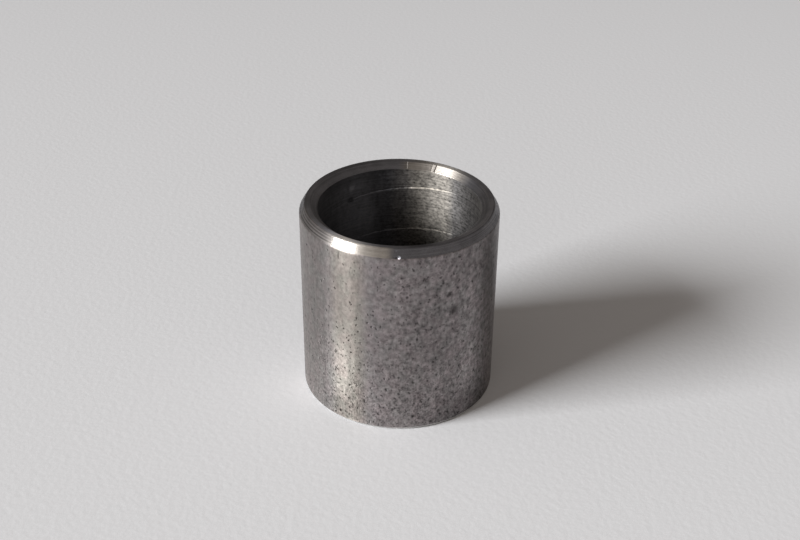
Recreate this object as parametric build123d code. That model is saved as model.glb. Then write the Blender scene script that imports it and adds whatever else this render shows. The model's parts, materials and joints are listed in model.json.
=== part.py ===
from build123d import *
import os

# A steel bushing turned as one piece. It stands on its base end, with its bore along +Z.
# The origin is at the middle of the base end. All sizes are in millimetres.

# Driving dimensions
bore_diameter = 18.0
wall_thickness = 2.0
length = 23.0

# Bevels on the top end: their width across the end and their depth along the wall
top_outer_bevel_width = 0.6
top_outer_bevel_depth = 1.0
top_bore_bevel_width = 0.8
top_bore_bevel_depth = 0.65

# Broken edges on the base end, at 45 degrees
base_outer_break = 0.25
base_bore_break = 0.25

# Radii that follow from them
bore_radius = bore_diameter / 2
outer_radius = bore_radius + wall_thickness


def wall_section():
    """The section through one side of the wall, on the XZ plane, drawn round from the base."""
    with BuildSketch(Plane.XZ) as section:
        with BuildLine():
            Polyline(
                (bore_radius + base_bore_break, 0),
                (outer_radius - base_outer_break, 0),
                (outer_radius, base_outer_break),
                (outer_radius, length - top_outer_bevel_depth),
                (outer_radius - top_outer_bevel_width, length),
                (bore_radius + top_bore_bevel_width, length),
                (bore_radius, length - top_bore_bevel_depth),
                (bore_radius, base_bore_break),
                close=True,
            )
        make_face()
    return section.sketch


def turned_bushing():
    """The wall section turned once round the bore's axis."""
    return revolve(wall_section(), Axis.Z)


os.makedirs("parts", exist_ok=True)
export_step(turned_bushing(), "parts/bushing.step")
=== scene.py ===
import json
import math
import random

import bpy
import numpy as np
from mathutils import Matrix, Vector


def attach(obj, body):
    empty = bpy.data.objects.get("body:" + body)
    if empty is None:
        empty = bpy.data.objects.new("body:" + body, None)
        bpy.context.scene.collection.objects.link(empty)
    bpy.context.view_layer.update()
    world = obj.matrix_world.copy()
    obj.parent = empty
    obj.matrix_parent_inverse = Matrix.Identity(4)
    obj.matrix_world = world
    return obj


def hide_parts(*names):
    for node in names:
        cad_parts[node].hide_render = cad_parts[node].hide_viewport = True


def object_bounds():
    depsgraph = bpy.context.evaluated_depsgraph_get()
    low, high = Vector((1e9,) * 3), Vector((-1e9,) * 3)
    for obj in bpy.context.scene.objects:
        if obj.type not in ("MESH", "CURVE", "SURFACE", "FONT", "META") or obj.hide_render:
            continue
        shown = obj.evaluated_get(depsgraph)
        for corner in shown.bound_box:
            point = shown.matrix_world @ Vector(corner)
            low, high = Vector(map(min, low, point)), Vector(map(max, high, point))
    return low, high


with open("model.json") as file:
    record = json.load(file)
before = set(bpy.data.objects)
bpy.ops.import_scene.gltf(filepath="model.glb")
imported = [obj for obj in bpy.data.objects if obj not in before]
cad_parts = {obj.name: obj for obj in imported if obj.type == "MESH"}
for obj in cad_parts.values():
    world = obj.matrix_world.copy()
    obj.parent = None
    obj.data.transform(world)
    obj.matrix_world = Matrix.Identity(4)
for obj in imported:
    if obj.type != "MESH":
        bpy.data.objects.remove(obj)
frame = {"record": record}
cad_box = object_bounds()

# A steel bushing on pale paper. Lengths in this script are millimetres, angles are degrees
# counter-clockwise from +X seen from above, and MM turns a length into Blender's metres.
MM = 0.001

# Sizes of the bushing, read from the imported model
mounts = {mount["name"]: mount for mount in frame["record"]["mounts"]}


def straight_wall(name):
    """Lowest and highest height of the straight wall that a round mount states."""
    middle = mounts[name]["pos_m"][2] / MM
    half_length = mounts[name]["dims"]["length_mm"] / 2
    return middle - half_length, middle + half_length


OUTER_RADIUS = min(cad_box[1].x, -cad_box[0].x, cad_box[1].y, -cad_box[0].y) / MM
BORE_RADIUS = mounts["bore"]["dims"]["r_mm"]
LENGTH = cad_box[1].z / MM
WALL_FOOT, WALL_TOP = straight_wall("outer_wall")
BORE_FOOT, BORE_TOP = straight_wall("bore")

# Widths of the two bevels of the rim, which no mount states
OUTER_BEVEL_WIDTH = 0.6
BORE_BEVEL_WIDTH = 0.8

# Radius of the worn edge after each span of the section, where it isn't WORN_EDGE_RADIUS
WORN_EDGE_RADIUS = 0.05
WORN_RADII = {"wall": 0.45, "outer_bevel": 0.22, "land": 0.32, "base": 0.15, "outer_break": 0.15}

# The mesh: SEGMENTS divisions round the axis, each split into FINE steps where a mark needs it
SEGMENTS = 240
FINE = 4
STEPS_ROUND = SEGMENTS * FINE
FINE_STEP = 2 * math.pi * OUTER_RADIUS / STEPS_ROUND
RIM_STEP = 0.075
BASE_STEP = 4 * RIM_STEP
EDGE_STEPS = 3

# Camera of the photograph, whose frame is 800 x 540 pixels
PHOTO_WIDTH = 800
FOCAL_PIXELS = 1200
SENSOR_WIDTH = 36
CAMERA_PLACE = Vector((0.0, -115.729, 84.743))
CAMERA_ANGLES = (58.604, -0.514, 0.253)
CLIP_START = 10
CLIP_END = 20000

# Outline of a pit: how far it swells in two and in three lobes, how far that can carry it beyond
# its half width, and how fast it darkens from its edge inwards
# The pits' darkening is partly oxide in them and partly painted shade.
TWO_LOBES = 0.16
THREE_LOBES = 0.12
PIT_REACH = 1.5
PIT_OXIDE_AND_SHADE_DARKENING = 1.6

# Pits scattered over the wall and in the bore. Turns are in radians, and a steepness is the depth
# over the half width.
PIT_SEED = 11
WALL_PITS = 2500
WALL_PIT_MARGIN = 0.1
WALL_PIT_LEAST = 0.075
WALL_PIT_SPREAD = 0.08
WALL_PIT_SPREAD_POWER = 2.2
WALL_PIT_STRETCH = (1.0, 1.9)
WALL_PIT_TURN = (0, 0.7)
WALL_PIT_STEEPNESS = (0.22, 0.36)
BORE_PITS = 90
BORE_PIT_MARGIN = 0.2
BORE_PIT_HALF_WIDTH = (0.07, 0.13)
BORE_PIT_STRETCH = (0.6, 1.0)
BORE_PIT_TURN = (-0.4, 0.4)
BORE_PIT_STEEPNESS = (0.15, 0.3)

# Share of the wall's pits that stay. It is higher at the foot, at the front and in the light band,
# lower on the left, and drifts a little from place to place.
PIT_SHARE = 0.26
PIT_SHARE_FOOT = 0.35
PIT_SHARE_FOOT_FRONT = 0.45
PIT_SHARE_FRONT = 0.12
PIT_SHARE_BAND = 0.45
PIT_SHARE_LEFT = 0.18
PIT_SHARE_DRIFT = 0.1

# Drag mark of the tool in the bore, a left-handed helix. Its shine is a painted highlight that goes
# by azimuth with the lamp's light, and makes the lower flank brighter than the bore, or darker, as
# painted shade, where it is below 0.
HELIX_PITCH = 5.4
HELIX_DEPTH_AT_START = 2.95
HELIX_START_ANGLE = 79
HELIX_UPPER_FLANK = 0.07
HELIX_LOWER_FLANK = 0.18
HELIX_DEPTH = 0.045
HELIX_PAINTED_SHINE = ((-10, 0.0), (10, -0.3), (42, -0.35), (50, 0.7), (60, 1.0), (98, 1.0), (122, 0.0))

# Height of the ridges that turning left on the parts of the rim
RING_HEIGHTS = {"outer_bevel": 0.0015, "land": 0.001, "bore_bevel": 0.0005}

# Nicks and the larger pits: the span, the angle, the distance along the span, the half width round
# the axis, the half width along the span, the depth and the darkness
NICKS = (
    ("outer_bevel", -91.2, 0.0, 0.4, 0.38, 0.2, 0.0),
    ("outer_bevel", -92.2, 0.78, 0.2, 0.13, 0.04, 0.0),
    ("wall", -125.2, 20.8, 0.09, 0.8, 0.02, 0.8),
    ("wall", -154.5, 19.8, 0.26, 0.13, 0.05, 1.0),
    ("wall", -105.0, 13.2, 0.17, 0.17, 0.05, 1.0),
    ("wall", -114.0, 13.0, 0.15, 0.15, 0.045, 1.0),
    ("wall", -113.6, 13.9, 0.11, 0.24, 0.035, 0.8),
    ("wall", -118.5, 4.8, 0.19, 0.19, 0.06, 1.0),
    ("wall", -66.0, 1.7, 0.17, 0.3, 0.06, 1.0),
    ("wall", -52.5, 7.0, 0.16, 0.22, 0.05, 1.0),
    ("wall", -52.3, 5.5, 0.15, 0.22, 0.05, 1.0),
    ("wall", -67.5, 4.8, 0.13, 0.17, 0.04, 1.0),
    ("wall", -66.5, 19.1, 0.19, 0.19, 0.05, 0.9),
)

# Chatter of the tool on the bore bevel: where a step starts, is deepest and ends, and its depth
CHATTER = (
    (57.0, 63.9, 64.7, 0.035),
    (64.7, 66.8, 67.6, 0.012),
    (84.2, 85.0, 91.0, 0.03),
)

# Light: a wide soft lamp on the left, low and a little cool, and a dim warm room
KEY_AZIMUTH = -156.4
KEY_ELEVATION = 25.5
KEY_DISTANCE = 8000
KEY_WIDTH = 2 * KEY_DISTANCE * math.tan(math.radians(12.2))
KEY_HEIGHT = 2 * KEY_DISTANCE * math.tan(math.radians(10.5))
KEY_RADIANCE = 37.5
KEY_TINT = (0.985, 1.0, 1.02)
ROOM_RADIANCE = 0.275
ROOM_SLOPE = (0.0, -0.13, -0.07)
ROOM_TINT = (1.095, 1.0, 0.93)

# Paper: painted shade dims it a little away from the camera, by a share to the millimetre, and fades
# it far out
FLOOR_HALF_SIZE = 3000
FLOOR_TINT = (0.612, 0.608, 0.61)
FLOOR_PAINTED_DIMMING = 0.00077
PAINTED_DIMMING_REACH = 150
PAINTED_FADE_START = 200
PAINTED_FADE_END = 900
PAINTED_FADE_LEVEL = 0.45

# Tones of the steel round the axis: a plain colour for the back of the turn, then stops of azimuth,
# level and tint. The levels hold painted highlight and shade, raised and lowered round the axis to
# follow the lamp's light. The tints are the ratios of red and blue to green.
# The warm and the yellowish tint are painted highlight tints, put where the lamp's highlight falls on
# the rim, in the wall's light band and on the lit side of the bore.
PAINTED_HIGHLIGHT_WARM = (1.09, 0.9)
PAINTED_LIGHT_YELLOWISH = (1.08, 0.89)
GREYISH = (1.07, 0.97)
PURPLISH = (1.08, 1.01)
PLAIN = (1.05, 0.97)
COOL = (1.01, 1.06)
DARK = (0.99, 1.08)
WALL_BACK = (0.21, GREYISH)
WALL_TONES_AND_PAINTED_LIGHT = (
    (-165, 0.33, GREYISH),
    (-154, 0.29, GREYISH),
    (-144, 0.24, GREYISH),
    (-135, 0.19, GREYISH),
    (-125, 0.19, PAINTED_HIGHLIGHT_WARM),
    (-115, 0.21, PAINTED_HIGHLIGHT_WARM),
    (-104, 0.26, PURPLISH),
    (-92, 0.25, PURPLISH),
    (-76, 0.21, PURPLISH),
    (-58, 0.2, PURPLISH),
    (-45, 0.23, PURPLISH),
    (-30, 0.18, PURPLISH),
    (-12, 0.18, PURPLISH),
)
OUTER_BEVEL_BACK = (0.225, COOL)
OUTER_BEVEL_TONES_AND_PAINTED_LIGHT = (
    (-165, 0.235, GREYISH),
    (-140, 0.25, GREYISH),
    (-124, 0.27, PAINTED_HIGHLIGHT_WARM),
    (-110, 0.36, PAINTED_HIGHLIGHT_WARM),
    (-98, 0.38, PAINTED_HIGHLIGHT_WARM),
    (-92, 0.18, COOL),
    (-84, 0.175, COOL),
    (-72, 0.21, COOL),
    (-45, 0.215, COOL),
    (-28, 0.31, COOL),
    (-12, 0.25, COOL),
)
LAND_BACK = (0.25, COOL)
# Most of the land's change of level round the axis, from 0.12 to 0.37, is painted highlight and
# shade.
LAND_TONES_AND_PAINTED_LIGHT = (
    (-165, 0.36, COOL),
    (-140, 0.36, COOL),
    (-125, 0.23, PAINTED_HIGHLIGHT_WARM),
    (-98, 0.24, COOL),
    (-76, 0.12, COOL),
    (-62, 0.27, COOL),
    (-35, 0.37, COOL),
    (24, 0.3, COOL),
    (50, 0.16, PAINTED_HIGHLIGHT_WARM),
    (72, 0.2, PAINTED_HIGHLIGHT_WARM),
    (90, 0.25, COOL),
    (120, 0.17, COOL),
    (165, 0.3, COOL),
)
BORE_BEVEL_BACK = (0.26, COOL)
BORE_BEVEL_TONES_AND_PAINTED_LIGHT = (
    (12, 0.25, COOL),
    (30, 0.27, COOL),
    (46, 0.36, PAINTED_HIGHLIGHT_WARM),
    (82, 0.33, PAINTED_HIGHLIGHT_WARM),
    (92, 0.215, COOL),
    (140, 0.22, COOL),
    (168, 0.3, COOL),
)
BORE_BACK = (0.14, DARK)
# The bore is lighter where the lamp lights it through the opening and darker on its shaded side:
# painted light and shade.
BORE_TONES_AND_PAINTED_LIGHT = (
    (12, 0.14, PLAIN),
    (32, 0.14, PLAIN),
    (44, 0.16, PLAIN),
    (54, 0.25, PAINTED_LIGHT_YELLOWISH),
    (66, 0.25, PAINTED_LIGHT_YELLOWISH),
    (76, 0.22, PAINTED_LIGHT_YELLOWISH),
    (88, 0.14, PLAIN),
    (100, 0.11, DARK),
    (125, 0.18, DARK),
    (155, 0.15, DARK),
)

# Soft stains, and patches of painted light and shade among them: azimuth, height, half width in
# degrees, half height, and the change of the level
WALL_STAINS_AND_PAINTED_LIGHT = (
    (-24, 19, 18, 7, -0.35),
    (-48, 21, 14, 4, -0.2),
    # Painted shade: the near right foot, darkened for the shadow on the paper that it reflects.
    (-46, 0, 38, 6, -0.4),
    (-85, 4, 9, 4, -0.12),
    (-46, 7, 10, 4, 0.15),
    (-61, 17, 2, 0.6, -0.5),
    (-57.5, 15, 3, 0.7, -0.45),
    (-76, 14.5, 17, 4.5, -0.1),
    # Painted highlight: this row and the next three dim the lamp's light band at the top, lift it low
    # down and dim it at the foot.
    (-126, 16.5, 9, 6, -0.18),
    (-125, 6.5, 8, 5, 0.3),
    (-116, 7.5, 3, 5, 0.15),
    (-126, 1, 10, 3, -0.2),
    # Painted glint along the foot under the light band.
    (-117, 0.2, 14, 0.5, 0.6),
)
BORE_STAINS_AND_PAINTED_LIGHT = (
    (129, 19.3, 3.2, 0.6, -0.6),
    (127.5, 20.7, 3, 0.7, 0.5),
    (130, 22.4, 45, 2, -0.3),
    (115, 16.5, 12, 3, 0.35),
    # Painted light: the top of the lit patch, where the lamp's light reaches over the rim.
    (82, 21.4, 14, 2, 0.3),
    (48, 16.6, 9, 0.6, -0.3),
    # Painted shade: the lit patch darkened low down, in the shadow of the rim.
    (64, 13, 24, 3.2, -0.4),
)

# How far the outlines of stains and painted patches wander, in degrees and millimetres, and the share
# of a stain's size that has its full change
STAIN_WANDER = (6.0, 1.2, 0.0)
STAIN_CORE = 0.3

# Rings of painted shade and highlight on the left of the outer bevel, on the lamp's side, standing in
# for the shading of its turning grooves: their spacing, the height at which the steel between two of
# them is lightest, their azimuth, and how much lighter and darker they make the steel
PAINTED_GROOVE_RING_SPACING = 0.25
PAINTED_GROOVE_RING_HEIGHT = 22.93
PAINTED_GROOVE_AZIMUTH = -156
PAINTED_GROOVE_CHANGE = 0.4

# Azimuths that the finish and the painted light go by: the near right and the light band of the wall,
# and the lit side of the bore
RIGHT_AZIMUTH = -50
BAND_AZIMUTH = -125
LIT_BORE_AZIMUTH = 58

# Fine spots: their spacing and radius, and the share of the radius that is full
PINHOLES = (0.27, 0.1)
POCKS = (0.42, 0.16)
BORE_SPECKS = (0.5, 0.16)
SPOT_HEART = 0.4

# Share of the wall's fine spots that stay, what it gains low down and on the near right, and how
# strongly it changes from patch to patch. In the bore it is the same all over.
FINE_SHARE = 0.12
FINE_SHARE_LOW = 0.45
FINE_SHARE_RIGHT = 0.2
FINE_SHARE_PATCHES = 1.5
BORE_SPECK_SHARE = 0.5

# Level of the wall, what it gains at the foot beside the light band as a painted reflection of the
# lit paper, and its grain: a coarse mottle, stronger on the near right, a fine frost, stronger low
# down, and streaks along the axis
WALL_LEVEL = 1.08
WALL_FOOT_PAINTED_REFLECTION = 0.22
MOTTLE = 0.95
MOTTLE_RIGHT = 1.35
FROST = 0.5
FROST_LOW = 1.3
STREAKS = 0.55
BLUSH_TINTS = ((0.985, 1.0, 0.99), (1.02, 0.985, 0.99))

# Change of the level where a mark is, and low in the bore, where it is painted shade
PINHOLE_CHANGE = -0.3
POCK_CHANGE = -0.35
PIT_OXIDE_AND_SHADE_CHANGE = -0.62
BORE_LOW_PAINTED_SHADE = -0.2
BORE_SPECK_CHANGE = -0.45
DRAG_CHANGE = 1.5

# Speckle and turning lines of the bore, and what they gain where it is lit
BORE_SPECKLE = 0.7
BORE_SPECKLE_LIT = 1.6
BORE_LINES = 1.0
BORE_LINES_LIT = 1.0

# Rings to a millimetre on the rim and the base, and in the bore, and the range of the rim's level
RINGS_PER_MM = 9.0
BORE_RINGS_PER_MM = 5.0
RIM_SMUDGE = 0.5
RIM_LEVELS = (0.8, 1.2)

# Roughness, anisotropy and depth of the bump of each finish. The rim's roughness, from its smooth
# to its rough spots, is stated where its materials are made.
WALL_ROUGHNESS_LOW = 0.445
WALL_ROUGHNESS_HIGH = 0.4
WALL_ANISOTROPY = 0.82
WALL_BUMP = 0.02
GRAIN_RELIEF = 0.45
POCK_RELIEF = 0.35
RIM_ANISOTROPY = 0.9
RIM_BUMP = 0.0015
BORE_ROUGHNESS = 0.56
DRAG_ROUGHNESS = 0.85
BORE_ANISOTROPY = 0.6
BORE_BUMP = 0.012
BORE_LINE_RELIEF = 0.35
BASE_ROUGHNESS = 0.35
BASE_ANISOTROPY = 0.6
BREAK_ANISOTROPY = 0.5
BASE_BUMP = 0.004
BASE_WARMTH = 1.02
PAPER_BUMP = 0.026


class Span:
    """A straight part of the turned section, as a surface round the axis."""

    def __init__(self, name, start, end, cell):
        self.name = name
        self.edge_radius = WORN_RADII.get(name, WORN_EDGE_RADIUS)
        self.start = np.array(start, float)
        self.end = np.array(end, float)
        self.length = float(np.linalg.norm(self.end - self.start))
        self.along = (self.end - self.start) / self.length
        self.normal = np.array((self.along[1], -self.along[0]))
        self.cell = cell

    def trim(self, at_start, at_end):
        """Shorten the span to leave room for the worn edges."""
        self.start = self.start + self.along * at_start
        self.end = self.end - self.along * at_end
        self.length -= at_start + at_end


class Marks:
    """Depth of the marks on a span, on a lattice round the axis and along the section."""

    def __init__(self, span, step):
        rows_in_cell = span.cell[1]
        cells = max(1, round(span.length / (step * rows_in_cell)))
        self.rows = cells * rows_in_cell
        self.angles = np.arange(STEPS_ROUND) * 2 * math.pi / STEPS_ROUND
        self.distances = np.linspace(0, span.length, self.rows + 1)
        self.radii = span.start[0] + span.along[0] * self.distances
        shape = (STEPS_ROUND, self.rows + 1)
        self.depth = np.zeros(shape)
        self.slope_along = np.zeros(shape)
        self.slope_round = np.zeros(shape)
        self.dark = np.zeros(shape)
        self.bright = np.zeros(shape)
        self.fine_round = np.zeros(shape, bool)
        self.fine_along = np.zeros(shape, bool)

    def press_pit(self, angle, distance, half_width, half_height, turn, depth, wobble, darkness=1.0):
        """Sink one rounded pit, and keep the deeper of it and what is there."""
        radius = float(np.interp(distance, self.distances, self.radii))
        reach = PIT_REACH * max(half_width, half_height)
        step_round = 2 * math.pi * radius / STEPS_ROUND
        step_along = self.distances[1]
        u_middle = round(angle / (2 * math.pi) * STEPS_ROUND)
        u_reach = math.ceil(reach / step_round)
        columns = np.arange(u_middle - u_reach, u_middle + u_reach + 1)
        first = max(0, math.floor((distance - reach) / step_along))
        last = min(self.rows, math.ceil((distance + reach) / step_along))
        rows = np.arange(first, last + 1)
        x = ((columns * 2 * math.pi / STEPS_ROUND - angle) * radius)[:, None]
        y = (self.distances[rows] - distance)[None, :]
        cos, sin = math.cos(turn), math.sin(turn)
        a = (x * cos + y * sin) / half_width
        b = (y * cos - x * sin) / half_height
        around = np.arctan2(b, a)
        two_lobes = TWO_LOBES * np.sin(2 * around + wobble)
        three_lobes = THREE_LOBES * np.sin(3 * around + 2 * wobble)
        swell = 1 + two_lobes + three_lobes
        a, b = a / swell, b / swell
        bowl = np.clip(1 - a * a - b * b, 0, None)
        sunk = depth * bowl**2
        fall = -4 * depth * bowl
        window = np.ix_(columns % STEPS_ROUND, rows)
        deeper = sunk > self.depth[window]
        self.depth[window] = np.where(deeper, sunk, self.depth[window])
        slope_round = fall * (a * cos / half_width - b * sin / half_height)
        slope_along = fall * (a * sin / half_width + b * cos / half_height)
        self.slope_round[window] = np.where(deeper, slope_round, self.slope_round[window])
        self.slope_along[window] = np.where(deeper, slope_along, self.slope_along[window])
        shade = darkness * np.clip(bowl * PIT_OXIDE_AND_SHADE_DARKENING, 0, 1)
        self.dark[window] = np.maximum(self.dark[window], shade)
        self.fine_round[window] |= sunk > 0
        self.fine_along[window] |= sunk > 0

    def ramp_round(self, low, deep, depth):
        """Sink the surface from an angle where it has no depth to one where it is deepest."""
        angles = np.degrees(self.angles)
        share = (angles - low) / (deep - low)
        share = np.where((share >= 0) & (share <= 1), share, 0)
        width = math.radians(deep - low) * self.radii[None, :]
        self.depth += depth * share[:, None] ** 2
        self.slope_round += 2 * depth * share[:, None] / width
        self.fine_round |= (share > 0)[:, None]


class Skin:
    """Vertices and faces of the closed surface, gathered span by span."""

    def __init__(self):
        self.places = []
        self.normals = []
        self.darkness = []
        self.brightness = []
        self.count = 0
        self.faces = []
        self.finishes = []

    def add_vertices(self, angles, radius, height, normal_r, normal_z, normal_round, dark, bright):
        """Add vertices given in cylindrical form, and return the number of the first."""
        cos, sin = np.cos(angles), np.sin(angles)
        self.places.append(np.stack((radius * cos, radius * sin, height), axis=-1))
        normal = np.stack(
            (normal_r * cos - normal_round * sin, normal_r * sin + normal_round * cos, normal_z),
            axis=-1,
        )
        self.normals.append(normal / np.linalg.norm(normal, axis=-1, keepdims=True))
        self.darkness.append(dark)
        self.brightness.append(bright)
        first = self.count
        self.count += len(angles)
        return first

    def add_face(self, corners, finish):
        self.faces.append(corners)
        self.finishes.append(finish)

    def join_rows(self, below, above, finish):
        """Faces between two rows of vertices. A row has -1 where it has no vertex."""
        for first in range(0, STEPS_ROUND, FINE):
            columns = [(first + k) % STEPS_ROUND for k in range(FINE + 1)]
            corners = [below[u] for u in columns] + [above[u] for u in reversed(columns)]
            self.add_face([corner for corner in corners if corner >= 0], finish)


def section_spans():
    """The straight parts of the section, from the wall up over the rim, down the bore and back."""
    corners = [
        (OUTER_RADIUS, WALL_FOOT),
        (OUTER_RADIUS, WALL_TOP),
        (OUTER_RADIUS - OUTER_BEVEL_WIDTH, LENGTH),
        (BORE_RADIUS + BORE_BEVEL_WIDTH, LENGTH),
        (BORE_RADIUS, BORE_TOP),
        (BORE_RADIUS, BORE_FOOT),
        (BORE_RADIUS + BORE_FOOT, 0),
        (OUTER_RADIUS - WALL_FOOT, 0),
    ]
    fine_cell = (2 * FINE, 2 * FINE)
    ring_cell = (FINE, 1)
    kinds = [
        ("wall", fine_cell),
        ("outer_bevel", ring_cell),
        ("land", ring_cell),
        ("bore_bevel", ring_cell),
        ("bore", fine_cell),
        ("bore_break", ring_cell),
        ("base", ring_cell),
        ("outer_break", ring_cell),
    ]
    ends = corners[1:] + corners[:1]
    spans = [Span(name, start, end, cell) for (name, cell), start, end in zip(kinds, corners, ends)]
    tangents = [edge_tangent(spans[k - 1], span) for k, span in enumerate(spans)]
    for k, span in enumerate(spans):
        span.trim(tangents[k], tangents[(k + 1) % len(spans)])
    return spans


def turn_between(before, after):
    """Angle, in radians, through which the section turns from one span to the next."""
    return math.acos(float(np.dot(before.along, after.along)))


def edge_tangent(before, after):
    """Length that the worn edge between two spans takes from each of them."""
    return before.edge_radius * math.tan(turn_between(before, after) / 2)


def near_azimuth(angle, middle, width):
    """1 at the middle azimuth, falling softly to 0 on both sides of it."""
    return math.exp(-(((angle - middle) / width) ** 2))


def under(height, limit, fade):
    """0 above a height, rising to 1 over a length below it."""
    return min(1, max(0, (limit - height) / fade))


def pit_density(angle, height):
    """Share of the pits that stay at a place, dense at the foot and low on the near left."""
    foot = under(height, 6.5, 4)
    front = near_azimuth(angle, -95, 45)
    band = near_azimuth(angle, -127, 14) * under(height, 14, 3)
    left = near_azimuth(angle, -168, 26)
    drift = PIT_SHARE_DRIFT * math.sin(math.radians(3 * angle) + height / 3)
    foot_share = foot * (PIT_SHARE_FOOT + PIT_SHARE_FOOT_FRONT * front)
    share = PIT_SHARE + PIT_SHARE_FRONT * front + foot_share
    return share + PIT_SHARE_BAND * band - PIT_SHARE_LEFT * left + drift


def pit_wall(marks, span):
    """Scatter corrosion pits over the outside wall."""
    draw = random.Random(PIT_SEED)
    for _ in range(WALL_PITS):
        angle = draw.uniform(-180, 180)
        distance = draw.uniform(WALL_PIT_MARGIN, span.length - WALL_PIT_MARGIN)
        keep = draw.random()
        half_width = WALL_PIT_LEAST + WALL_PIT_SPREAD * draw.random() ** WALL_PIT_SPREAD_POWER
        half_height = half_width * draw.uniform(*WALL_PIT_STRETCH)
        turn = draw.uniform(*WALL_PIT_TURN)
        depth = half_width * draw.uniform(*WALL_PIT_STEEPNESS)
        wobble = draw.uniform(0, 2 * math.pi)
        if keep < pit_density(angle, span.start[1] + distance):
            marks.press_pit(
                math.radians(angle), distance, half_width, half_height, turn, depth, wobble
            )


def pit_bore(marks, span):
    """Scatter a few small pits in the bore."""
    draw = random.Random(PIT_SEED + 1)
    for _ in range(BORE_PITS):
        half_width = draw.uniform(*BORE_PIT_HALF_WIDTH)
        half_height = half_width * draw.uniform(*BORE_PIT_STRETCH)
        angle = draw.uniform(0, 2 * math.pi)
        distance = draw.uniform(BORE_PIT_MARGIN, span.length - BORE_PIT_MARGIN)
        turn = draw.uniform(*BORE_PIT_TURN)
        depth = half_width * draw.uniform(*BORE_PIT_STEEPNESS)
        wobble = draw.uniform(0, 2 * math.pi)
        marks.press_pit(angle, distance, half_width, half_height, turn, depth, wobble)


def wind_helix(marks, span):
    """Cut the left-handed drag mark of the tool, with a steep upper flank and a lower one that
    carries the painted shine.
    """
    below_top = (LENGTH - (span.start[1] + span.along[1] * marks.distances))[None, :]
    turns = (marks.angles - math.radians(HELIX_START_ANGLE))[:, None] / (2 * math.pi)
    offset = (below_top - HELIX_DEPTH_AT_START) / HELIX_PITCH - turns
    gap = (offset - np.round(offset)) * HELIX_PITCH
    flank = np.where(gap < 0, -HELIX_UPPER_FLANK, HELIX_LOWER_FLANK)
    share = np.clip(1 - gap / flank, 0, None)
    marks.depth += HELIX_DEPTH * share**2
    marks.slope_along += -2 * HELIX_DEPTH * share / flank * -span.along[1]
    marks.fine_along |= share > 0
    shine = np.interp(np.degrees(marks.angles), *zip(*HELIX_PAINTED_SHINE))
    marks.bright = np.where(gap < 0, 0, share**0.5) * shine[:, None]


def turn_rings(marks, seed, height):
    """Leave the shallow ridges of turning, each ring a little higher or lower."""
    draw = random.Random(seed)
    rings = np.array([draw.uniform(0, height) for _ in marks.distances])
    rings[0] = rings[-1] = 0
    marks.depth += rings[None, :]
    marks.slope_along += np.gradient(rings, marks.distances)[None, :]


def press_nicks(marks, span):
    """Press the few nicks that the photograph shows."""
    for name, angle, distance, half_width, half_height, depth, darkness in NICKS:
        if name == span.name:
            marks.press_pit(
                math.radians(angle), distance, half_width, half_height, 0, depth, 0, darkness
            )


def leave_chatter(marks):
    """Step the bore bevel where the tool chattered."""
    for start, deepest, end, depth in CHATTER:
        marks.ramp_round(start, deepest, depth)
        marks.ramp_round(end, deepest, depth)


def marks_on(span):
    """The marks of one span."""
    if span.name == "wall":
        marks = Marks(span, FINE_STEP)
        pit_wall(marks, span)
        press_nicks(marks, span)
    elif span.name == "bore":
        marks = Marks(span, FINE_STEP)
        wind_helix(marks, span)
        pit_bore(marks, span)
    elif span.name == "base":
        marks = Marks(span, BASE_STEP)
    else:
        marks = Marks(span, RIM_STEP)
        if span.name in RING_HEIGHTS:
            turn_rings(marks, len(span.name), RING_HEIGHTS[span.name])
            press_nicks(marks, span)
        if span.name == "bore_bevel":
            leave_chatter(marks)
    return marks


def split_cells(marks, span):
    """Cells of the lattice that become faces: small where the surface is marked."""
    fine_round = np.vstack((marks.fine_round, marks.fine_round[:1]))
    fine_along = np.vstack((marks.fine_along, marks.fine_along[:1]))
    waiting = [
        (u, v, span.cell[0], span.cell[1])
        for u in range(0, STEPS_ROUND, span.cell[0])
        for v in range(0, marks.rows, span.cell[1])
    ]
    leaves = []
    while waiting:
        u, v, across, up = waiting.pop()
        window = (slice(u, u + across + 1), slice(v, v + up + 1))
        at_edge = across > FINE and (v == 0 or v + up == marks.rows)
        narrow = across > 1 and (at_edge or fine_round[window].any())
        low = up > 1 and fine_along[window].any()
        if not narrow and not low:
            leaves.append((u, v, across, up))
            continue
        width = across // 2 if narrow else across
        rise = up // 2 if low else up
        waiting += [
            (u + i, v + j, width, rise) for i in range(0, across, width) for j in range(0, up, rise)
        ]
    return leaves


def cell_outline(index, u, v, across, up):
    """Vertices round one cell, with those that smaller neighbours leave on its sides."""
    walk = [(u + k, v) for k in range(across)]
    walk += [(u + across, v + k) for k in range(up)]
    walk += [(u + across - k, v + up) for k in range(across)]
    walk += [(u, v + up - k) for k in range(up)]
    corners = [index[column % STEPS_ROUND][row] for column, row in walk]
    return [corner for corner in corners if corner >= 0]


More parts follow.
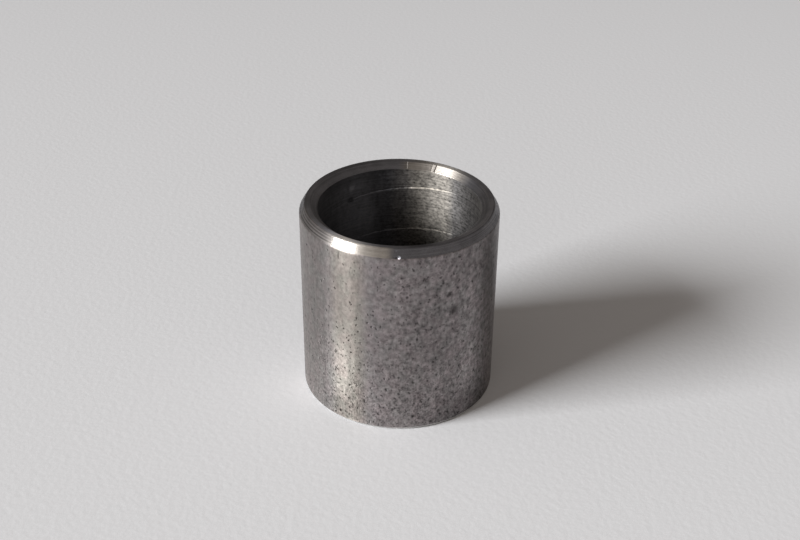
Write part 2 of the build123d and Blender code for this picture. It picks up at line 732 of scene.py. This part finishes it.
def add_span(skin, span):
    """Build the surface of one span, and return its first and last rows of vertices."""
    marks = marks_on(span)
    leaves = split_cells(marks, span)
    used = np.zeros(marks.depth.shape, bool)
    for u, v, across, up in leaves:
        next_u = (u + across) % STEPS_ROUND
        used[u, v] = used[next_u, v] = used[u, v + up] = used[next_u, v + up] = True
    u, v = np.nonzero(used)
    depth = marks.depth[u, v]
    radius = marks.radii[v] - span.normal[0] * depth
    height = span.start[1] + span.along[1] * marks.distances[v] - span.normal[1] * depth
    slope_along = marks.slope_along[u, v]
    normal_r = span.normal[0] + span.along[0] * slope_along
    normal_z = span.normal[1] + span.along[1] * slope_along
    slope_round = marks.slope_round[u, v]
    dark, bright = marks.dark[u, v], marks.bright[u, v]
    first = skin.add_vertices(
        marks.angles[u], radius, height, normal_r, normal_z, slope_round, dark, bright
    )
    index = np.full(used.shape, -1)
    index[u, v] = first + np.arange(len(u))
    index_rows = index.tolist()
    for leaf in leaves:
        skin.add_face(cell_outline(index_rows, *leaf), span.name)
    return index[:, 0].tolist(), index[:, -1].tolist()


def add_worn_edge(skin, before, after, last_row, first_row):
    """Round the edge between two spans with a few rings."""
    turn = turn_between(before, after)
    centre = before.end - before.normal * before.edge_radius
    angles = np.arange(SEGMENTS) * 2 * math.pi / SEGMENTS
    row = last_row
    for step in range(1, EDGE_STEPS):
        bend = turn * step / EDGE_STEPS
        normal = before.normal * math.cos(bend) + before.along * math.sin(bend)
        place = centre + normal * before.edge_radius
        level = [np.full(SEGMENTS, value) for value in (*place, *normal, 0, 0, 0)]
        first = skin.add_vertices(angles, *level)
        next_row = [-1] * STEPS_ROUND
        next_row[::FINE] = range(first, first + SEGMENTS)
        skin.join_rows(row, next_row, before.name)
        row = next_row
    skin.join_rows(row, first_row, before.name)


def build_bushing(materials):
    """The bushing as one closed mesh, with its normals set from the true surface."""
    spans = section_spans()
    skin = Skin()
    rows = [add_span(skin, span) for span in spans]
    for k, span in enumerate(spans):
        after = (k + 1) % len(spans)
        add_worn_edge(skin, span, spans[after], rows[k][1], rows[after][0])
    mesh = bpy.data.meshes.new("bushing_body")
    mesh.from_pydata((np.concatenate(skin.places) * MM).tolist(), [], skin.faces)
    names = list(materials)
    for material in materials.values():
        mesh.materials.append(material)
    numbers = [names.index(finish if finish in names else "base") for finish in skin.finishes]
    mesh.polygons.foreach_set("material_index", numbers)
    mesh.polygons.foreach_set("use_smooth", [True] * len(mesh.polygons))
    # The pit attribute carries the pits' darkening, partly oxide and partly painted shade, and the
    # drag attribute the drag mark's painted shine.
    for name, values in (("pit", skin.darkness), ("drag", skin.brightness)):
        attribute = mesh.attributes.new(name, "FLOAT", "POINT")
        attribute.data.foreach_set("value", np.concatenate(values).astype(np.float32))
    mesh.normals_split_custom_set_from_vertices(np.concatenate(skin.normals).tolist())
    mesh.update()
    bushing = bpy.data.objects.new("bushing_body", mesh)
    bpy.context.scene.collection.objects.link(bushing)
    return bushing


class Nodes:
    """Short calls that add nodes to one material."""

    def __init__(self, name):
        self.material = bpy.data.materials.new(name)
        self.material.use_nodes = True
        self.tree = self.material.node_tree
        self.tree.nodes.clear()

    def add(self, kind, settings=None, **inputs):
        node = self.tree.nodes.new(kind)
        for key, value in (settings or {}).items():
            setattr(node, key, value)
        for key, value in inputs.items():
            self.feed(node, key.replace("_", " "), value)
        return node

    def feed(self, node, socket, value):
        """Give a socket a number or colour, or the output of another node."""
        if isinstance(socket, str):
            socket = next(s for s in node.inputs if s.name == socket and s.enabled)
        else:
            socket = node.inputs[socket]
        if isinstance(value, bpy.types.NodeSocket):
            self.tree.links.new(value, socket)
        else:
            socket.default_value = value

    def math(self, operation, *values):
        node = self.add("ShaderNodeMath", {"operation": operation})
        for place, value in enumerate(values):
            self.feed(node, place, value)
        return node.outputs[0]

    def vector(self, operation, *values):
        """Arithmetic on vectors, which gives a number for LENGTH and DOT_PRODUCT."""
        node = self.add("ShaderNodeVectorMath", {"operation": operation})
        for place, value in enumerate(values):
            self.feed(node, place, value)
        return node.outputs["Value" if operation in ("LENGTH", "DOT_PRODUCT") else "Vector"]

    def place(self, scale):
        """The point on the surface in millimetres, stretched by a scale for each axis."""
        coordinates = self.add("ShaderNodeTexCoord").outputs["Object"]
        return self.vector("MULTIPLY", coordinates, tuple(value / MM for value in scale))

    def noise_at(self, vector, detail=3.0, roughness=0.55):
        node = self.add(
            "ShaderNodeTexNoise", Vector=vector, Scale=1.0, Detail=detail, Roughness=roughness
        )
        return node.outputs["Fac"]

    def noise(self, scale, detail=3.0, roughness=0.55):
        return self.noise_at(self.place(scale), detail, roughness)

    def axes(self, scale=1.0):
        """The three coordinates of the point on the surface in millimetres, times a scale."""
        return self.add("ShaderNodeSeparateXYZ", Vector=self.place((scale,) * 3)).outputs

    def rings(self, per_mm, drift=0.15):
        """Noise in fine rings round the axis, which change slowly on the way round."""
        radius = self.vector("LENGTH", self.place((per_mm, per_mm, 0)))
        slow = self.axes(drift)
        along = self.add(
            "ShaderNodeCombineXYZ",
            X=self.math("ADD", radius, slow["X"]),
            Y=self.math("ADD", self.axes(per_mm)["Z"], slow["Y"]),
        )
        return self.noise_at(along.outputs[0])

    def unrolled(self):
        """Azimuth in degrees and height in millimetres, as the first two parts of a vector."""
        axes = self.axes()
        azimuth = self.math("MULTIPLY", self.math("ARCTAN2", axes["Y"], axes["X"]), math.degrees(1))
        return self.add("ShaderNodeCombineXYZ", X=azimuth, Y=axes["Z"]).outputs[0]

    def tone_round(self, back, stops):
        """A colour that changes round the axis, through stops of azimuth, level and tint."""
        azimuth = self.add("ShaderNodeSeparateXYZ", Vector=self.unrolled()).outputs["X"]
        node = self.add("ShaderNodeValToRGB", Fac=self.math("MULTIPLY_ADD", azimuth, 1 / 360, 0.5))
        ramp = node.color_ramp
        ramp.interpolation = "EASE"
        for end in ramp.elements:
            end.color = tinted(*back)
        for stop, level, tint in stops:
            ramp.elements.new(stop / 360 + 0.5).color = tinted(level, tint)
        return node.outputs["Color"]

    def stained_and_painted_light(self, level, stains_and_painted_light):
        """A level changed by soft stains and patches of painted light and shade, whose outlines
        wander a little.
        """
        cloud = self.add(
            "ShaderNodeTexNoise", Vector=self.place((0.5, 0.5, 0.5)), Scale=1.0, Detail=3.0
        )
        drift = self.vector("SUBTRACT", cloud.outputs["Color"], (0.5, 0.5, 0.5))
        place = self.vector("ADD", self.unrolled(), self.vector("MULTIPLY", drift, STAIN_WANDER))
        for azimuth, height, half_width, half_height, change in stains_and_painted_light:
            offset = self.vector("SUBTRACT", place, (azimuth, height, 0))
            reach = self.vector("LENGTH", self.vector("DIVIDE", offset, (half_width, half_height, 1)))
            level = self.toned(level, self.between(reach, STAIN_CORE, 1.0, 1.0, 0.0), change)
        return level

    def facing(self, azimuth, edge, core):
        """1 towards an azimuth, 0 away from it. Edge and core are cosines of the angle to it."""
        flat = self.vector("NORMALIZE", self.place((1, 1, 0)))
        angle = math.radians(azimuth)
        aligned = self.vector("DOT_PRODUCT", flat, (math.cos(angle), math.sin(angle), 0))
        return self.between(aligned, edge, core)

    def toned(self, level, mask, change):
        """A level made lighter where a mask is 1, or darker where the change is negative."""
        return self.math("MULTIPLY", level, self.math("MULTIPLY_ADD", mask, change, 1.0))

    def swing(self, noise, reach=1.0):
        """Noise round 0, with its middle value taken off."""
        return self.math("MULTIPLY", self.math("SUBTRACT", noise, 0.5), reach)

    def between(self, value, low, high, new_low=0.0, new_high=1.0):
        """Map a range smoothly onto another."""
        node = self.add("ShaderNodeMapRange", {"interpolation_type": "SMOOTHSTEP"}, Value=value)
        for place, limit in enumerate((low, high, new_low, new_high), start=1):
            self.feed(node, place, limit)
        return node.outputs["Result"]

    def mix(self, factor, first, second, blend="MIX"):
        node = self.add("ShaderNodeMix", {"data_type": "RGBA", "blend_type": blend})
        colours = [s for s in node.inputs if s.type == "RGBA"]
        self.feed(node, 0, factor)
        for socket, value in zip(colours, (first, second)):
            if isinstance(value, bpy.types.NodeSocket):
                self.tree.links.new(value, socket)
            else:
                socket.default_value = (*value, 1.0)
        return next(s for s in node.outputs if s.type == "RGBA")

    def scaled(self, colour, factor):
        """A colour made lighter or darker."""
        node = self.add("ShaderNodeVectorMath", {"operation": "SCALE"})
        self.feed(node, 0, colour)
        self.feed(node, "Scale", factor)
        return node.outputs[0]

    def bump(self, height, distance):
        node = self.add("ShaderNodeBump", Height=height, Distance=distance * MM, Strength=1.0)
        return node.outputs["Normal"]

    def attribute(self, name):
        """A number that the mesh carries at each point."""
        return self.add("ShaderNodeAttribute", {"attribute_name": name}).outputs["Fac"]

    def finish(self, shader):
        output = self.add("ShaderNodeOutputMaterial")
        self.tree.links.new(shader.outputs[0], output.inputs["Surface"])
        return self.material


def base_grey(level):
    """A grey of the base, a little warmer than neutral."""
    return (level * BASE_WARMTH, level, level / BASE_WARMTH)


def tinted(level, tint):
    """A colour of a level of green, with the tint's ratios of red and blue to it."""
    return (level * tint[0], level, level * tint[1], 1.0)


def fine_spots(nodes, spacing, radius, share):
    """1 at the heart of small spots, 0 between them. Only a share of the spots is there."""
    frequency = 1 / spacing
    cells = nodes.add(
        "ShaderNodeTexVoronoi", Vector=nodes.place((frequency,) * 3), Scale=1.0, Randomness=1.0
    )
    heart = SPOT_HEART * radius / spacing
    spots = nodes.between(cells.outputs["Distance"], heart, radius / spacing, 1.0, 0.0)
    draw = nodes.add("ShaderNodeSeparateColor", Color=cells.outputs["Color"]).outputs["Red"]
    return nodes.math("MULTIPLY", spots, nodes.math("LESS_THAN", draw, share))


def steel(nodes, colour, roughness, anisotropy, normal):
    """Bare steel with the grain of turning running round it."""
    shader = nodes.add(
        "ShaderNodeBsdfPrincipled", Base_Color=colour, Roughness=roughness, Normal=normal
    )
    shader.inputs["Metallic"].default_value = 1.0
    shader.inputs["Anisotropic"].default_value = anisotropy
    shader.inputs["Anisotropic Rotation"].default_value = 0.25
    tangent = nodes.add("ShaderNodeTangent", {"direction_type": "RADIAL", "axis": "Z"})
    nodes.feed(shader, "Tangent", tangent.outputs[0])
    return nodes.finish(shader)


def pitted_share(nodes, low, right):
    """Share of the fine pits that stay, high low down and on the near right."""
    patches = nodes.swing(nodes.noise((0.5, 0.5, 0.35)), FINE_SHARE_PATCHES)
    low_share = nodes.math("MULTIPLY", low, FINE_SHARE_LOW)
    right_share = nodes.math("MULTIPLY", right, FINE_SHARE_RIGHT)
    share = nodes.math("ADD", nodes.math("ADD", low_share, right_share), FINE_SHARE)
    return nodes.math("ADD", share, patches)


def wall_grain(nodes, low, right):
    """Mottle that is coarse and strong on the near right, and fine low down."""
    mottle = nodes.swing(nodes.noise((1.9, 1.9, 1.8), 2.0, 0.5))
    frost = nodes.swing(nodes.noise((4.6, 4.6, 3.2), 1.5, 0.5))
    coarse = nodes.math("MULTIPLY", mottle, nodes.math("MULTIPLY_ADD", right, MOTTLE_RIGHT, MOTTLE))
    fine = nodes.math("MULTIPLY", frost, nodes.math("MULTIPLY_ADD", low, FROST_LOW, FROST))
    return nodes.math("ADD", coarse, fine)


def wall_tone(nodes):
    """Tones of the wall round the axis, holding painted highlight and shade, with a soft blush in
    patches.
    """
    tone = nodes.tone_round(WALL_BACK, WALL_TONES_AND_PAINTED_LIGHT)
    blush = nodes.between(nodes.noise((0.75, 0.75, 0.6), 2.0), 0.35, 0.65)
    return nodes.mix(1.0, tone, nodes.mix(blush, *BLUSH_TINTS), "MULTIPLY")


def wall_material():
    """Dull steel, mottled, speckled with fine pits and streaked along the axis, with painted
    highlight, shade and reflection in its tones, stains and foot.
    """
    nodes = Nodes("pitted_wall_steel")
    height = nodes.axes()["Z"]
    low = nodes.between(height, 2.0, 14.0, 1.0, 0.0)
    right = nodes.facing(RIGHT_AZIMUTH, 0.45, 0.9)
    share = pitted_share(nodes, low, right)
    pinholes = fine_spots(nodes, *PINHOLES, share)
    pocks = fine_spots(nodes, *POCKS, share)
    grain = wall_grain(nodes, low, right)
    streaks = nodes.swing(nodes.noise((2.4, 2.4, 0.22)), STREAKS)
    # Painted reflection of the lit paper, lightening the foot away from the light band.
    foot = nodes.between(height, 2.0, 12.0, WALL_FOOT_PAINTED_REFLECTION, 0.0)
    off_band = nodes.between(nodes.facing(BAND_AZIMUTH, 0.93, 1.0), 0.0, 1.0, 1.0, 0.0)
    plain = nodes.math("MULTIPLY_ADD", foot, off_band, WALL_LEVEL)
    level = nodes.math("ADD", plain, nodes.math("ADD", grain, streaks))
    level = nodes.stained_and_painted_light(level, WALL_STAINS_AND_PAINTED_LIGHT)
    level = nodes.toned(level, pinholes, PINHOLE_CHANGE)
    level = nodes.toned(level, pocks, POCK_CHANGE)
    # The pits' darkening, partly oxide and partly painted shade.
    level = nodes.toned(level, nodes.attribute("pit"), PIT_OXIDE_AND_SHADE_CHANGE)
    colour = nodes.scaled(wall_tone(nodes), level)
    roughness = nodes.between(height, 8.0, 15.0, WALL_ROUGHNESS_LOW, WALL_ROUGHNESS_HIGH)
    relief = nodes.math("MULTIPLY", grain, GRAIN_RELIEF)
    relief = nodes.math("SUBTRACT", relief, nodes.math("MULTIPLY", pocks, POCK_RELIEF))
    return steel(nodes, colour, roughness, WALL_ANISOTROPY, nodes.bump(relief, WALL_BUMP))


def painted_groove_rings(nodes):
    """Cosine rings of painted shade and highlight on the bevel, light and dark in turn, on its left
    side only.
    """
    phase = 2 * math.pi / PAINTED_GROOVE_RING_SPACING
    along = nodes.math("MULTIPLY_ADD", nodes.axes()["Z"], phase, -PAINTED_GROOVE_RING_HEIGHT * phase)
    side = nodes.facing(PAINTED_GROOVE_AZIMUTH, 0.87, 0.97)
    return nodes.math("MULTIPLY", nodes.math("COSINE", along), side)


def rim_material(name, back, tones, smooth, rough):
    """Bright steel of the rim, ringed by the tool, part smooth and part rough, in tones that hold
    painted highlight and shade.
    """
    nodes = Nodes(name)
    rings = nodes.rings(RINGS_PER_MM)
    smudge = nodes.noise((0.8, 0.8, 0.8))
    level = nodes.math("ADD", rings, nodes.math("MULTIPLY", smudge, RIM_SMUDGE))
    level = nodes.between(level, 0.55, 0.95, *RIM_LEVELS)
    if name == "outer_bevel_steel":
        level = nodes.toned(level, painted_groove_rings(nodes), PAINTED_GROOVE_CHANGE)
    colour = nodes.scaled(nodes.tone_round(back, tones), level)
    roughness = nodes.between(nodes.noise((25.0, 25.0, 25.0), 1.0), 0.45, 0.55, smooth, rough)
    return steel(nodes, colour, roughness, RIM_ANISOTROPY, nodes.bump(rings, RIM_BUMP))


def bore_material():
    """Darker steel of the bore, with turning lines, a speckle of dirt, painted light and shade, and a
    drag mark with a painted shine.
    """
    nodes = Nodes("turned_bore_steel")
    lines = nodes.swing(nodes.rings(BORE_RINGS_PER_MM, 0.3), 0.9)
    flecks = nodes.swing(nodes.noise((2.6, 2.6, 3.6), 2.0, 0.6))
    haze = nodes.swing(nodes.noise((1.1, 1.1, 0.4), 2.0), 0.7)
    specks = fine_spots(nodes, *BORE_SPECKS, BORE_SPECK_SHARE)
    drag = nodes.attribute("drag")
    lit = nodes.facing(LIT_BORE_AZIMUTH, 0.5, 0.95)
    low = nodes.between(nodes.axes()["Z"], 12.5, 16.5, 1.0, 0.0)
    strength = nodes.math("MULTIPLY_ADD", lit, BORE_SPECKLE_LIT, BORE_SPECKLE)
    speckle = nodes.math("MULTIPLY", flecks, strength)
    strength = nodes.math("MULTIPLY_ADD", lit, BORE_LINES_LIT, BORE_LINES)
    grooves = nodes.math("MULTIPLY", lines, strength)
    level = nodes.math("ADD", nodes.math("ADD", 1.0, haze), nodes.math("ADD", speckle, grooves))
    level = nodes.stained_and_painted_light(level, BORE_STAINS_AND_PAINTED_LIGHT)
    # Painted shade, darker low in the bore.
    level = nodes.toned(level, low, BORE_LOW_PAINTED_SHADE)
    level = nodes.toned(level, nodes.math("MULTIPLY", specks, lit), BORE_SPECK_CHANGE)
    # The drag mark's painted shine lightens the bore, and darkens it where the shine is below 0.
    level = nodes.toned(level, drag, DRAG_CHANGE)
    colour = nodes.scaled(nodes.tone_round(BORE_BACK, BORE_TONES_AND_PAINTED_LIGHT), level)
    relief = nodes.math("ADD", flecks, nodes.math("MULTIPLY", lines, BORE_LINE_RELIEF))
    roughness = nodes.between(drag, 0.0, 1.0, BORE_ROUGHNESS, DRAG_ROUGHNESS)
    return steel(nodes, colour, roughness, BORE_ANISOTROPY, nodes.bump(relief, BORE_BUMP))


def break_material():
    """Bare bright steel of the base's outer edge."""
    nodes = Nodes("worn_edge_steel")
    wear = nodes.noise((1.5, 1.5, 1.5))
    colour = nodes.mix(nodes.between(wear, 0.35, 0.65), base_grey(0.45), base_grey(0.65))
    return steel(nodes, colour, BASE_ROUGHNESS, BREAK_ANISOTROPY, nodes.bump(wear, BASE_BUMP))


def base_material():
    """Plain turned steel of the base end and of the bore's broken edge."""
    nodes = Nodes("turned_base_steel")
    rings = nodes.rings(RINGS_PER_MM)
    mottle = nodes.noise((1.2, 1.2, 1.2), 4.0)
    colour = nodes.mix(nodes.between(mottle, 0.3, 0.7), base_grey(0.28), base_grey(0.38))
    return steel(nodes, colour, BASE_ROUGHNESS, BASE_ANISOTROPY, nodes.bump(rings, BASE_BUMP))


def paper_material():
    """Pale matt paper with a faint grain, and painted shade that dims it away from the camera and far
    out.
    """
    nodes = Nodes("pale_paper")
    tooth = nodes.noise((1.3, 1.3, 1.3), 1.5, 0.5)
    painted_dimming = nodes.add("ShaderNodeMapRange", Value=nodes.axes()["Y"])
    change = PAINTED_DIMMING_REACH * FLOOR_PAINTED_DIMMING
    for place, limit in enumerate((-PAINTED_DIMMING_REACH, PAINTED_DIMMING_REACH, 1 + change, 1 - change), start=1):
        nodes.feed(painted_dimming, place, limit)
    reach = nodes.vector("LENGTH", nodes.place((1, 1, 1)))
    painted_fading = nodes.between(reach, PAINTED_FADE_START, PAINTED_FADE_END, 1.0, PAINTED_FADE_LEVEL)
    colour = nodes.scaled(FLOOR_TINT, nodes.math("MULTIPLY", painted_dimming.outputs["Result"], painted_fading))
    shader = nodes.add("ShaderNodeBsdfDiffuse", Color=colour, Normal=nodes.bump(tooth, PAPER_BUMP))
    return nodes.finish(shader)


def build_floor():
    """A wide flat sheet under the bushing."""
    mesh = bpy.data.meshes.new("floor")
    half = FLOOR_HALF_SIZE * MM
    corners = [(-half, -half, 0), (half, -half, 0), (half, half, 0), (-half, half, 0)]
    mesh.from_pydata(corners, [], [(0, 1, 2, 3)])
    mesh.materials.append(paper_material())
    floor = bpy.data.objects.new("floor", mesh)
    bpy.context.scene.collection.objects.link(floor)
    return floor


def add_key_light():
    """One wide lamp, turned to the bushing."""
    data = bpy.data.lights.new("key", "AREA")
    data.shape = "RECTANGLE"
    data.size = KEY_WIDTH * MM
    data.size_y = KEY_HEIGHT * MM
    data.energy = KEY_RADIANCE * math.pi * data.size * data.size_y
    data.color = KEY_TINT
    lamp = bpy.data.objects.new("key", data)
    azimuth, elevation = math.radians(KEY_AZIMUTH), math.radians(KEY_ELEVATION)
    towards = Vector(
        (
            math.cos(azimuth) * math.cos(elevation),
            math.sin(azimuth) * math.cos(elevation),
            math.sin(elevation),
        )
    )
    lamp.location = towards * KEY_DISTANCE * MM
    lamp.rotation_euler = towards.to_track_quat("Z", "Y").to_euler()
    bpy.context.scene.collection.objects.link(lamp)


def add_room():
    """Dim light from all sides, a little brighter from the camera's side and from below."""
    world = bpy.data.worlds.new("room")
    world.use_nodes = True
    tree = world.node_tree
    direction = tree.nodes.new("ShaderNodeTexCoord").outputs["Generated"]
    slope = tree.nodes.new("ShaderNodeVectorMath")
    slope.operation = "DOT_PRODUCT"
    slope.inputs[1].default_value = ROOM_SLOPE
    tree.links.new(direction, slope.inputs[0])
    level = tree.nodes.new("ShaderNodeMath")
    level.operation = "ADD"
    level.inputs[1].default_value = ROOM_RADIANCE
    tree.links.new(slope.outputs["Value"], level.inputs[0])
    colour = tree.nodes.new("ShaderNodeVectorMath")
    colour.operation = "SCALE"
    colour.inputs[0].default_value = ROOM_TINT
    tree.links.new(level.outputs[0], colour.inputs["Scale"])
    tree.links.new(colour.outputs[0], tree.nodes["Background"].inputs["Color"])
    bpy.context.scene.world = world


def add_camera():
    """The photograph's camera."""
    data = bpy.data.cameras.new("camera")
    data.sensor_fit = "HORIZONTAL"
    data.sensor_width = SENSOR_WIDTH
    data.lens = FOCAL_PIXELS * SENSOR_WIDTH / PHOTO_WIDTH
    data.clip_start = CLIP_START * MM
    data.clip_end = CLIP_END * MM
    camera = bpy.data.objects.new("camera", data)
    camera.location = CAMERA_PLACE * MM
    camera.rotation_euler = [math.radians(angle) for angle in CAMERA_ANGLES]
    bpy.context.scene.collection.objects.link(camera)
    bpy.context.scene.camera = camera


bushing = build_bushing(
    {
        "wall": wall_material(),
        "outer_bevel": rim_material(
            "outer_bevel_steel", OUTER_BEVEL_BACK, OUTER_BEVEL_TONES_AND_PAINTED_LIGHT, 0.28, 0.78
        ),
        "land": rim_material("land_steel", LAND_BACK, LAND_TONES_AND_PAINTED_LIGHT, 0.36, 0.5),
        "bore_bevel": rim_material(
            "bore_bevel_steel", BORE_BEVEL_BACK, BORE_BEVEL_TONES_AND_PAINTED_LIGHT, 0.32, 0.7
        ),
        "bore": bore_material(),
        "outer_break": break_material(),
        "base": base_material(),
    }
)
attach(bushing, "root")
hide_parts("bushing")
build_floor()
add_key_light()
add_room()
add_camera()
bpy.context.scene.view_settings.view_transform = "Standard"
